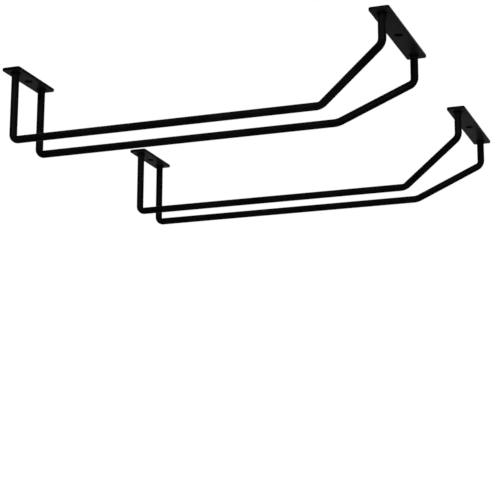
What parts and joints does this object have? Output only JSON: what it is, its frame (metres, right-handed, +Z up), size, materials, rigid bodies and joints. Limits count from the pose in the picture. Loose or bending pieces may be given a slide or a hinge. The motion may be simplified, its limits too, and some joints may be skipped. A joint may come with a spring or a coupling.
{
  "type": "hanging wine glass rack",
  "caption": "Under-cabinet racks for stemmed glasses: bent steel rods form rails that flare up to a wide mouth, welded to flat screw plates.",
  "frame": {"origin": "in the mounting plane, which is the plates' top faces, midway between the two racks and midway between the rear and front screw holes", "axes": "+X along the rails towards the mouths where the glasses slide in, +Z up towards the cabinet, +Y across the rails towards the right rack as seen from the mouths"},
  "size_m": [0.335, 0.364, 0.0632],
  "materials": {
    "rod_coat": "satin black powder coat on round steel rod",
    "plate_coat": "satin black powder coat on flat steel bar",
    "weld_coat": "satin black powder coat over a weld bead"
  },
  "bodies": {
    "root": {"left_rack_front_plate": "plate_coat", "left_rack_rear_plate": "plate_coat", "left_rack_outer_rail": "rod_coat", "left_rack_inner_rail": "rod_coat", "left_rack_front_outer_weld": "weld_coat", "left_rack_front_inner_weld": "weld_coat", "left_rack_rear_outer_weld": "weld_coat", "left_rack_rear_inner_weld": "weld_coat", "right_rack_front_plate": "plate_coat", "right_rack_rear_plate": "plate_coat", "right_rack_outer_rail": "rod_coat", "right_rack_inner_rail": "rod_coat", "right_rack_front_outer_weld": "weld_coat", "right_rack_front_inner_weld": "weld_coat", "right_rack_rear_outer_weld": "weld_coat", "right_rack_rear_inner_weld": "weld_coat"}
  },
  "joints": []
}
